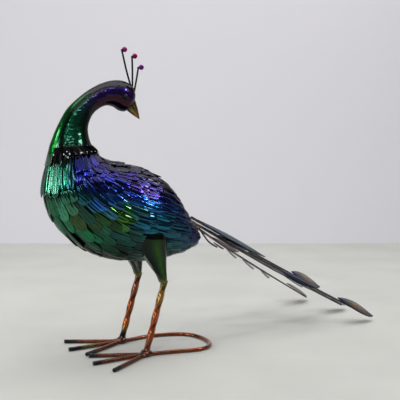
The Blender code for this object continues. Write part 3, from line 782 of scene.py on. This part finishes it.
def make_collar(material, front_material):
    """Pointed lips of the neck sheet that lap over the first feathers, dark but in front, where the
    middle lips carry a painted highlight in pale green.
    """
    count = 26
    sheet = 0.4 * MM
    inside = np.array([-70, 0, 218]) * MM
    u, v = np.meshgrid(np.linspace(0, 1, 10), np.linspace(-1, 1, 9), indexing="ij")
    t = u[..., None]
    lips = Mesh()
    front_lips = Mesh()
    for number in range(count):
        middle = turn_of(TAU * (number + RANDOM.uniform(-0.15, 0.15)) / count)
        front = abs(middle) < 0.5
        reach = np.interp(abs(middle), (0.0, 1.0, 1.25, 1.6, 2.4, 3.2),
                          (0.55, 0.52, 0.40, 0.33, 0.45, 0.55))
        reach = reach * (RANDOM.uniform(0.95, 1.05) if front else RANDOM.uniform(0.6, 1.15))
        blunt = 0.12 if front else 0.35
        wide = 1.15 if front else RANDOM.uniform(0.8, 1.1)
        angle = middle + v * (math.pi / count * wide) * np.clip(1.04 - u, 0, 1) ** blunt
        top = 0.5 if front else 1.1
        high = neck_point(top, angle, 0.25 * MM)
        low = neck_point(0.03, angle, 0.7 * MM)
        far = body_points(0.05 + reach * u, math.pi - angle, OUTLINE_DEPTH + 0.8 * MM)
        upper = high * (1 - t) ** 2 + low * 2 * t * (1 - t) + far * t ** 2
        inward = inside - upper.reshape(-1, 3).mean(0)
        lower = upper + inward / np.linalg.norm(inward) * sheet
        if front:
            shade = ramp(((0.0, NECK_GREEN * 0.6), (0.45, NECK_GREEN * 0.4), (0.7, BLACK * 2)),
                         np.abs(angle))
            # painted highlight: the front lips turn pale green along their middle
            pale = between(u, 0.3125, 0.9375) * between(np.abs(angle), 0.45, 0.15)
            shade = shade + pale[..., None] * (HIGHLIGHT_GREEN - shade)
            front_lips.add_plate(upper, lower, shade)
        else:
            lips.add_plate(upper, lower, BLACK * RANDOM.uniform(0.6, 1.6))
    lips.build("collar_lips", material, ())
    front_lips.build("collar_front", front_material, ())


def make_collar_welds(material):
    """Shiny blobs of weld metal in the hollow of the collar on each side."""
    mesh = Mesh()
    drops = ((-0.3, 1.0, 0.7), (0.20, 0.97, 0.9), (0.32, 1.06, 1.0), (0.16, 1.35, 1.2),
             (0.22, 1.5, 1.4), (0.12, 1.62, 1.1))
    for side in SIDES.values():
        for number, (drop, angle, size) in enumerate(drops):
            if drop < 0:
                spot = neck_point(-drop, side * angle, 0.4 * MM)
            else:
                spot = body_points(drop, side * (math.pi - angle), OUTLINE_DEPTH + 1.4 * MM)
            tone = rgb(0.5, 0.5, 0.5) if number < 3 else rgb(0.05, 0.035, 0.03)
            lump(mesh, spot, (size, size, size), tone, number * 2.7, 0.3)
    mesh.build("collar_welds", material, ())


def bar_points(path, radius, sides):
    """Rings of points round a path; radius is one number, or one for each ring or point."""
    ahead = np.gradient(path, axis=0)
    ahead /= np.linalg.norm(ahead, axis=1, keepdims=True)
    up = (0.0, 1.0, 0.0) if abs(ahead[0, 2]) > 0.9 else (0.0, 0.0, 1.0)
    across = np.cross(ahead, up)
    across /= np.linalg.norm(across, axis=1, keepdims=True)
    over = np.cross(across, ahead)
    angle = round_angles(sides)
    size = np.asarray(radius, float)
    if size.ndim == 1:
        size = size[:, None]
    size = np.broadcast_to(size, (len(path), sides))
    ring = over[:, None, :] * np.cos(angle)[None, :, None]
    ring = ring + across[:, None, :] * np.sin(angle)[None, :, None]
    return path[:, None, :] + ring * size[..., None]


def curve_through(route, count):
    """Points on the smooth curve through a route."""
    table = np.array(route)
    return smooth_rows(table, np.linspace(0, len(table) - 1, count))


def leg_centre(side, height):
    return np.array([KNEE_SETBACK * height / KNEE_HEIGHT, side * FOOT_SPACING / 2, height])


def make_leg(side_name, material):
    """A twisted square bar with softened corners."""
    side = SIDES[side_name]
    heights = np.linspace(0.0, KNEE_HEIGHT + 1.5 * MM, 90)
    angle = round_angles(28)
    square = (np.abs(np.cos(angle)) ** 4 + np.abs(np.sin(angle)) ** 4) ** (-1 / 4)
    radius = LEG_BAR / 2 * square
    rings = []
    for height in heights:
        turn = TAU * height / LEG_TWIST_PITCH
        flat = np.stack([radius * np.cos(angle + turn), radius * np.sin(angle + turn), 0 * angle], -1)
        rings.append(leg_centre(side, height) + flat)
    if side < 0:
        stops = ((0.0, BRONZE * 0.5), (0.1, BRONZE), (0.25, COPPER * 0.45), (0.6, COPPER * 0.6),
                 (0.78, GOLD * 0.5), (0.88, GOLD * 0.45), (0.94, OLIVE), (1.0, OLIVE * 0.7))
    else:
        stops = ((0.0, BLACK), (0.15, BLACK * 3), (0.22, GOLD * 0.5), (0.34, COPPER * 0.6),
                 (0.6, COPPER * 0.35), (0.94, BRONZE * 0.8), (1.0, OLIVE * 0.7))
    mesh = Mesh()
    mesh.add_tube(np.array(rings), ramp(stops, heights / KNEE_HEIGHT))
    mesh.build(f"{side_name}_twisted_leg", material, (f"{side_name}_leg",))


def floor_bar(mesh, path, diameter, colours, sides, texture, rib_depth):
    """A bar that lies on the floor, dented, with slanting ribs and flat where it rests."""
    marks = hammered(bar_points(path, diameter / 2, sides), texture)
    run = np.concatenate([[0.0], np.cumsum(np.linalg.norm(np.diff(path, axis=0), axis=1))])
    phase = run[:, None] / RIB_PITCH * TAU + round_angles(sides)[None, :]
    ribs = (0.5 - 0.5 * np.cos(phase)) ** 2
    rings = bar_points(path, diameter / 2 - marks - rib_depth * ribs, sides)
    rings[..., 2] = np.maximum(rings[..., 2], 0.0)
    # the depth of each rib groove also darkens the lacquer there: painted shade
    fact = np.concatenate([ribs.ravel(), [0.0, 0.0]]) if rib_depth else 0.0
    mesh.add_tube(rings, colours, fact)


def make_toes(side_name, material):
    side = SIDES[side_name]
    foot = leg_centre(side, TOE_BAR / 2)
    inner_turn = math.asin((FOOT_SPACING / 2 - TOE_BAR * 0.6 - GAP) / TOE_LENGTH)
    black_from = 0.8 if side > 0 else 0.87
    for toe_name, turn in {"outer": TOE_SPLAY, "middle": 0.0, "inner": -inner_turn}.items():
        heading = np.array([-math.cos(turn), side * math.sin(turn), 0.0])
        length = TOE_LENGTH + (RIGHT_TOE_EXTRA[toe_name] if side > 0 else 0.0)
        reach = np.linspace(3.0 * MM, length, 120)
        body = (OLIVE if (side_name, toe_name) == ("right", "middle") else BRONZE) * 1.2
        stops = ((0.0, BRONZE * 0.7), (0.3, COPPER * 0.4), (0.62, body),
                 (black_from - 0.04, body * 0.7), (black_from, BLACK * 3), (1.0, BLACK * 2))
        mesh = Mesh()
        floor_bar(mesh, foot + heading * reach[:, None], TOE_BAR, ramp(stops, reach / length),
                  18, 0.16 * MM, 0.35 * MM)
        mesh.build(f"{side_name}_{toe_name}_forged_toe", material,
                   (f"{side_name}_{toe_name}_toe",))


def make_rear_loop(material):
    behind = np.array([3.0 * MM, 0, 0])
    route = [(x * MM, y * MM, LOOP_BAR / 2) for x, y in LOOP_ROUTE_MM]
    route = [leg_centre(1, LOOP_BAR / 2) + behind, *route, leg_centre(-1, LOOP_BAR / 2) + behind]
    path = curve_through(route, 190)
    stops = ((0.0, BRONZE), (0.2, COPPER * 0.4), (0.5, BRONZE * 1.3), (0.8, COPPER * 0.45),
             (1.0, BRONZE))
    mesh = Mesh()
    floor_bar(mesh, path, LOOP_BAR, ramp(stops, np.linspace(0, 1, len(path))), 16, 0.1 * MM, 0.0)
    mesh.build("bent_rear_loop", material, ("rear_loop",))


def lump(mesh, centre, radii_mm, colour, seed, rough=0.18):
    """A rounded, uneven bead of weld metal."""
    rows = 16
    columns = 24
    points = []
    for row in range(1, rows):
        level = math.pi * row / rows
        for turn in round_angles(columns):
            way = Vector((math.sin(level) * math.cos(turn), math.sin(level) * math.sin(turn),
                          math.cos(level)))
            swell = 1 + rough * noise.noise(way * 2.2 + Vector((seed, 0, 0)))
            points.append(centre + np.array(way) * np.array(radii_mm) * MM * swell)
    rings = np.array(points).reshape(rows - 1, columns, 3)
    rings[..., 2] = np.maximum(rings[..., 2], 0.0)
    mesh.add_tube(rings, colour)


def make_foot_welds(material):
    for side_name, side in SIDES.items():
        mesh = Mesh()
        centre = leg_centre(side, 3.4 * MM)
        lump(mesh, centre, (7.2, 6.4, 4.6), BRONZE * 0.6, side * 3.1)
        ahead = np.array([-5.5, side * 1.5, -0.4]) * MM
        lump(mesh, centre + ahead, (4.6, 5.2, 3.0), BRONZE * 0.8, side * 7.7)
        mesh.build(f"{side_name}_foot_weld", material, ())


def make_thigh(side_name, material):
    """A folded cone of sheet metal from the knee up into the feathers."""
    side = SIDES[side_name]
    knee = leg_centre(side, KNEE_HEIGHT)
    half_bar = LEG_BAR / math.sqrt(2) + 0.5 * MM
    rear = knee[0] + LEG_BAR * THIGH_REAR
    angle = round_angles(80)
    fold = np.abs(np.cos((angle - 0.4) * 5 / 2))
    # painted highlight: a bright band down the side of the thigh that faces the camera, fading towards
    # both ends
    highlight_at, highlight_colour = THIGH_HIGHLIGHTS[side_name]
    highlight = np.exp(-((angle - TAU * highlight_at) / 0.30) ** 2)[:, None]
    rings = []
    colours = []
    for share in np.linspace(0, 1, 44):
        rise, forward, outward, inward = smooth_rows(THIGH_SECTIONS, 5 * share)
        front = knee[0] - half_bar - forward
        outer = half_bar + outward
        inner = half_bar + inward
        shape = 1 - 0.05 * min(share * 3, 1) * fold
        across = np.clip(np.cos(angle) * (1 + THIGH_CORNERS), -1, 1) * shape
        over = np.clip(np.sin(angle) * (1 + THIGH_CORNERS), -1, 1) * shape
        x = (front + rear) / 2 + (rear - front) / 2 * across
        y = knee[1] + side * (outer - inner) / 2 + (outer + inner) / 2 * over
        rings.append(np.stack([x, y, knee[2] + rise + 0 * x], -1))
        base = ramp(((0.0, OLIVE), (0.06, OLIVE * 0.6), (0.16, DEEP_GREEN * 0.25),
                     (0.7, DEEP_GREEN * 0.12), (1.0, BLACK)), share)
        fade = highlight * between(share, 0.05, 0.15) * between(share, 0.95, 0.65)
        colours.append(base * (1 - fade) + highlight_colour * fade)
    mesh = Mesh()
    mesh.add_tube(np.array(rings), np.array(colours), ends=(BLACK, BLACK))
    mesh.build(f"{side_name}_folded_thigh", material, (f"{side_name}_thigh",))


def make_beak(material):
    """Upper and lower bill in one, with a groove where they meet."""
    outer_x, outer_z, inner_x, inner_z = NECK_SECTIONS[-1][:4]
    upper = np.array([outer_x, 0, outer_z])
    lower = np.array([inner_x, 0, inner_z])
    line = upper - lower
    forward = np.array([line[2], 0, -line[0]])
    forward /= np.linalg.norm(forward)
    tip = np.array(BEAK_TIP_MM) * MM
    rows = 34
    angle = round_angles(48)
    groove = 1 - 0.10 * np.exp(-((np.abs(np.sin(angle)) - 1) / 0.02) ** 2)
    rings = []
    colours = []
    for share in np.arange(rows) / rows:
        size = (1 - share) ** 0.92
        middle = (upper + lower) / 2 * (1 - share) + tip * share
        middle = middle + forward * (1.0 * MM * math.sin(math.pi * share) - 0.2 * MM)
        reach = line / 2 * 0.95 * size * (np.cos(angle) * groove)[:, None]
        breadth = BEAK_HALF_WIDTH * size * np.sin(angle) * groove
        rings.append(middle + reach + np.array([0, 1, 0]) * breadth[:, None])
        tone = ramp(((0.0, OLIVE * 0.4), (0.25, OLIVE), (0.6, GOLD * 0.6), (0.9, COPPER * 0.5),
                     (1.0, BRONZE * 0.4)), share)
        colours.append(tone * (1 - 0.85 * np.clip(np.cos(angle) - 0.35, 0, 1)[:, None]))
    mesh = Mesh()
    mesh.add_tube(np.array(rings), np.array(colours), ends=(BRONZE, BRONZE * 0.4), tip=tip)
    mesh.build("bill", material, ("beak",))


def ball(mesh, centre, axis, radius, squash, colour, cut=-1.0):
    """A ball, flattened along its axis, or a dome if it is cut."""
    turn = Vector(axis).to_track_quat("Z", "Y").to_matrix()
    pole = math.pi / 2 - 0.02
    rings = []
    for level in np.linspace(math.asin(cut) if cut > -1 else -pole, pole, 18):
        ring = []
        for angle in round_angles(28):
            flat = Vector((math.cos(level) * math.cos(angle), math.cos(level) * math.sin(angle),
                           math.sin(level) * squash)) * radius
            ring.append(np.array(turn @ flat) + centre)
        rings.append(ring)
    mesh.add_tube(np.array(rings)[:, ::-1], colour)


def make_eyes(material, lid_material):
    for side_name, side in SIDES.items():
        low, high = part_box(f"{side_name}_eye")
        centre = np.array((low + high) / 2 - ORIGIN)
        centre[1] = (high.y if side < 0 else low.y) - ORIGIN.y
        axis = Vector((0.1, side, 0.12)).normalized()
        centre = centre - np.array(axis) * 0.5 * MM
        mesh = Mesh()
        ball(mesh, centre, axis, EYE_DIAMETER / 2, 0.95, BLACK, cut=-0.2)
        mesh.build(f"{side_name}_eye_bead", material, (f"{side_name}_eye",))
        lid = Mesh()
        ball(lid, centre - np.array(axis) * 0.2 * MM, axis, EYE_DIAMETER / 2 * 1.22, 0.3, BLACK,
             cut=-0.5)
        lid.build(f"{side_name}_eyelid", lid_material, ())


def make_crest(wire_material, bead_material):
    tints = (rgb(0.20, 0.006, 0.11), rgb(0.24, 0.003, 0.05), rgb(0.12, 0.008, 0.16))
    inside = np.array([0.6, 0, 2.5]) * MM
    for number, (base, bend, bead) in enumerate(CREST):
        end = bead - np.array([CREST_BEAD / 2 + CREST_WIRE * 0.3, 0, 0])
        wire = Mesh()
        wire.add_tube(bar_points(curve_through((base - inside, bend, end), 40), CREST_WIRE / 2, 12),
                      BLACK * 2)
        wire.build(f"crest_stalk_{number + 1}", wire_material, (f"crest_wire_{number + 1}",))
        mesh = Mesh()
        ball(mesh, bead, (0, 0, 1), CREST_BEAD / 2, 1.0, tints[number])
        mesh.build(f"crest_ball_{number + 1}", bead_material, (f"crest_bead_{number + 1}",))


def tail_route(name):
    """A tail feather's stem: its root over the rump, its sag point and its tip."""
    (place, angle, rise), sag, tip = TAIL_ROUTES[name]
    lift = OUTLINE_DEPTH + 0.5 * MM + GAP + STEM_BAR * 0.8
    root = body_points(place, angle, lift) + np.array([0, 0, rise * STEM_BAR])
    return np.array([root, np.array(sag) * MM, np.array(tip) * MM])


def tail_frame(heading, roll=0.0):
    """Directions ahead, across and over a leaf or stem."""
    ahead = Vector(heading).normalized()
    across = ahead.cross(Vector((0, 0, 1))).normalized()
    across = Matrix.Rotation(roll, 3, ahead) @ across
    return np.array(ahead), np.array(across), np.array(across.cross(ahead))


def route_at(route, share):
    """The point at a share of a route, and the directions ahead, across and over there."""
    last = len(route) - 1
    ahead = smooth_rows(route, min(last * share + 0.02, last))
    behind = smooth_rows(route, max(last * share - 0.02, 0.0))
    return smooth_rows(route, last * share), *tail_frame(ahead - behind)


def make_leaf(name, node, base, heading, length, width, roll, material, sag=0.0,
              eye=False, face_colour=rgb(0.07, 0.08, 0.11)):
    """A pointed leaf of sheet metal with a midrib and pressed veins."""
    ahead, across, over = tail_frame(heading, roll)
    u, v = np.meshgrid(np.linspace(0.012, 0.992, 44), np.linspace(-1, 1, 25), indexing="ij")
    half = width / 2 * np.sin(math.pi * u ** 1.15) ** 0.75
    half = np.maximum(half, 0.35 * MM)
    vein = np.abs((u * length / VEIN_PITCH - np.abs(v) * 1.2) % 1.0 - 0.5) * 2
    rib = np.exp(-(v * half / (0.8 * MM)) ** 2)
    bow = sag * length * np.sin(math.pi * u) - 0.10 * half * v ** 2
    bow = bow + 0.45 * MM * rib + 0.14 * MM * vein * (1 - rib)
    surface = base + ahead * length * u[..., None]
    surface = surface + across * (v * half)[..., None] + over * bow[..., None]
    colours = face_colour
    if eye:
        round_eye = np.sqrt(((u - 0.52) / 0.34) ** 2 + (v / 0.85) ** 2)
        colours = ramp(((0.0, rgb(0.08, 0.04, 0.02)), (0.25, rgb(0.32, 0.19, 0.06)),
                        (0.55, rgb(0.20, 0.10, 0.035)), (0.85, rgb(0.09, 0.06, 0.045)),
                        (1.05, rgb(0.05, 0.06, 0.08)), (1.6, NAVY)), round_eye)
    # painted shade and highlight: darker in the grooves between the pressed veins and lighter on their
    # crests; the lower side is darker, painted shade
    mesh = Mesh()
    mesh.add_plate(surface, surface - over * (LEAF_SHEET * 0.6),
                   colours * (0.8 + 0.4 * vein)[..., None], 0.7, np.abs(v) ** 5)
    mesh.build(name, material, (node,))


def make_stem(name, route, material, thick, end):
    steps = 80
    path = np.array([route_at(route, share)[0] for share in np.linspace(0, end, steps)])
    radius = (thick + (STEM_BAR * 0.6 - thick) * np.linspace(0, 1, steps)) / 2
    mottle = np.array([noise.noise(Vector(point) * 60) for point in path])[:, None]
    colours = rgb(0.07, 0.065, 0.07) * (1.0 + 0.6 * mottle)
    colours = colours + np.clip(mottle, 0, 1) * rgb(0.20, 0.08, 0.03)
    mesh = Mesh()
    mesh.add_tube(bar_points(path, radius, 12), colours)
    mesh.build(f"stem_{name}", material, (f"tail_stem_{name}",))


def make_tail(material):
    """Stems with their end leaves and side barbs, the hanging leaf and the strip on top."""
    for name in TAIL_ROUTES:
        route = tail_route(name)
        has_leaf = name in END_LEAVES
        thick = STEM_BAR if has_leaf else STEM_BAR * 0.6
        end = 0.985 if has_leaf else 1.0
        make_stem(name, route, material, thick, end)
        if has_leaf:
            share, length, roll = END_LEAVES[name]
            place, heading, _, over = route_at(route, share)
            clear = STEM_BAR / 2 / math.cos(roll) + GAP + LEAF_SHEET / 2
            make_leaf(f"eye_leaf_{name}", f"tail_eye_{name}", place + over * clear, heading,
                      length * MM, EYE_LEAF_WIDTH, roll, material,
                      sag=0.03, eye=name != "right", face_colour=rgb(0.05, 0.04, 0.035))
        for number, (share, length, side) in enumerate(BARBS.get(name, ())):
            place, heading, across, over = route_at(route, share)
            offset = across * (side * (STEM_BAR / 2 + LEAF_SHEET * 0.6 + BARB_GAP))
            turned = Matrix.Rotation(-side * BARB_SPREAD, 3, Vector(over)) @ Vector(heading)
            make_leaf(f"barb_{name}_{number + 1}", f"tail_barb_{name}_{number + 1}",
                      place + offset, turned, length * MM, BARB_WIDTH, BARB_ROLL[name],
                      material, face_colour=BARB_FACES[(number + len(name)) % 4])
    place, heading, _, over = route_at(tail_route("hanging"), 0.7)
    rise = over * (STEM_BAR / 2 + GAP + LEAF_SHEET)
    make_leaf("hanging_leaf", "tail_leaf_hanging", place + rise, heading, 17.0 * MM,
              BARB_WIDTH * 0.7, 15.0 * DEGREE, material)
    root, heading, across, over = route_at(tail_route("left"), 0.0)
    rise = over * (STEM_BAR / 2 + GAP + STRIP_WIDTH / 2 * 0.3 + LEAF_SHEET)
    make_leaf("top_strip", "tail_strip_top", root + rise + across * (STEM_BAR / 2), heading,
              106.0 * MM, STRIP_WIDTH, 24.0 * DEGREE, material, sag=0.01,
              face_colour=rgb(0.04, 0.075, 0.11))


def main():
    make_camera()
    make_stage()
    make_lights()
    feathers = lacquer_material("feather_lacquer", (0.10, 0.22), bump=0.06, coat=0.4, glance=0.5)
    neck = lacquer_material("neck_lacquer", (0.14, 0.26), bump=0.10, coat=0.4, glance=0.3)
    collar = lacquer_material("collar_lacquer", (0.35, 0.55), coat=0.03, glance=0.05)
    core = lacquer_material("core_paint", (0.4, 0.6), coat=0.1, metallic=0.2)
    bar = lacquer_material("bar_lacquer", (0.14, 0.34), bump=0.3)
    tail = lacquer_material("tail_lacquer", (0.25, 0.5), bump=0.3)
    gloss_black = lacquer_material("gloss_black", (0.05, 0.10), bump=0.0, metallic=0.0, coat=0.0,
                                   spots=0.05, specular=0.25)
    bead = lacquer_material("bead_paint", (0.15, 0.3), coat=0.3)
    make_core(core)
    make_feathers(feathers)
    make_neck(neck)
    make_collar(collar, neck)
    make_collar_welds(neck)
    make_beak(bar)
    make_eyes(gloss_black, collar)
    make_crest(gloss_black, bead)
    for side_name in SIDES:
        make_leg(side_name, bar)
        make_toes(side_name, bar)
        make_thigh(side_name, feathers)
    make_rear_loop(bar)
    make_foot_welds(bar)
    make_tail(tail)


main()
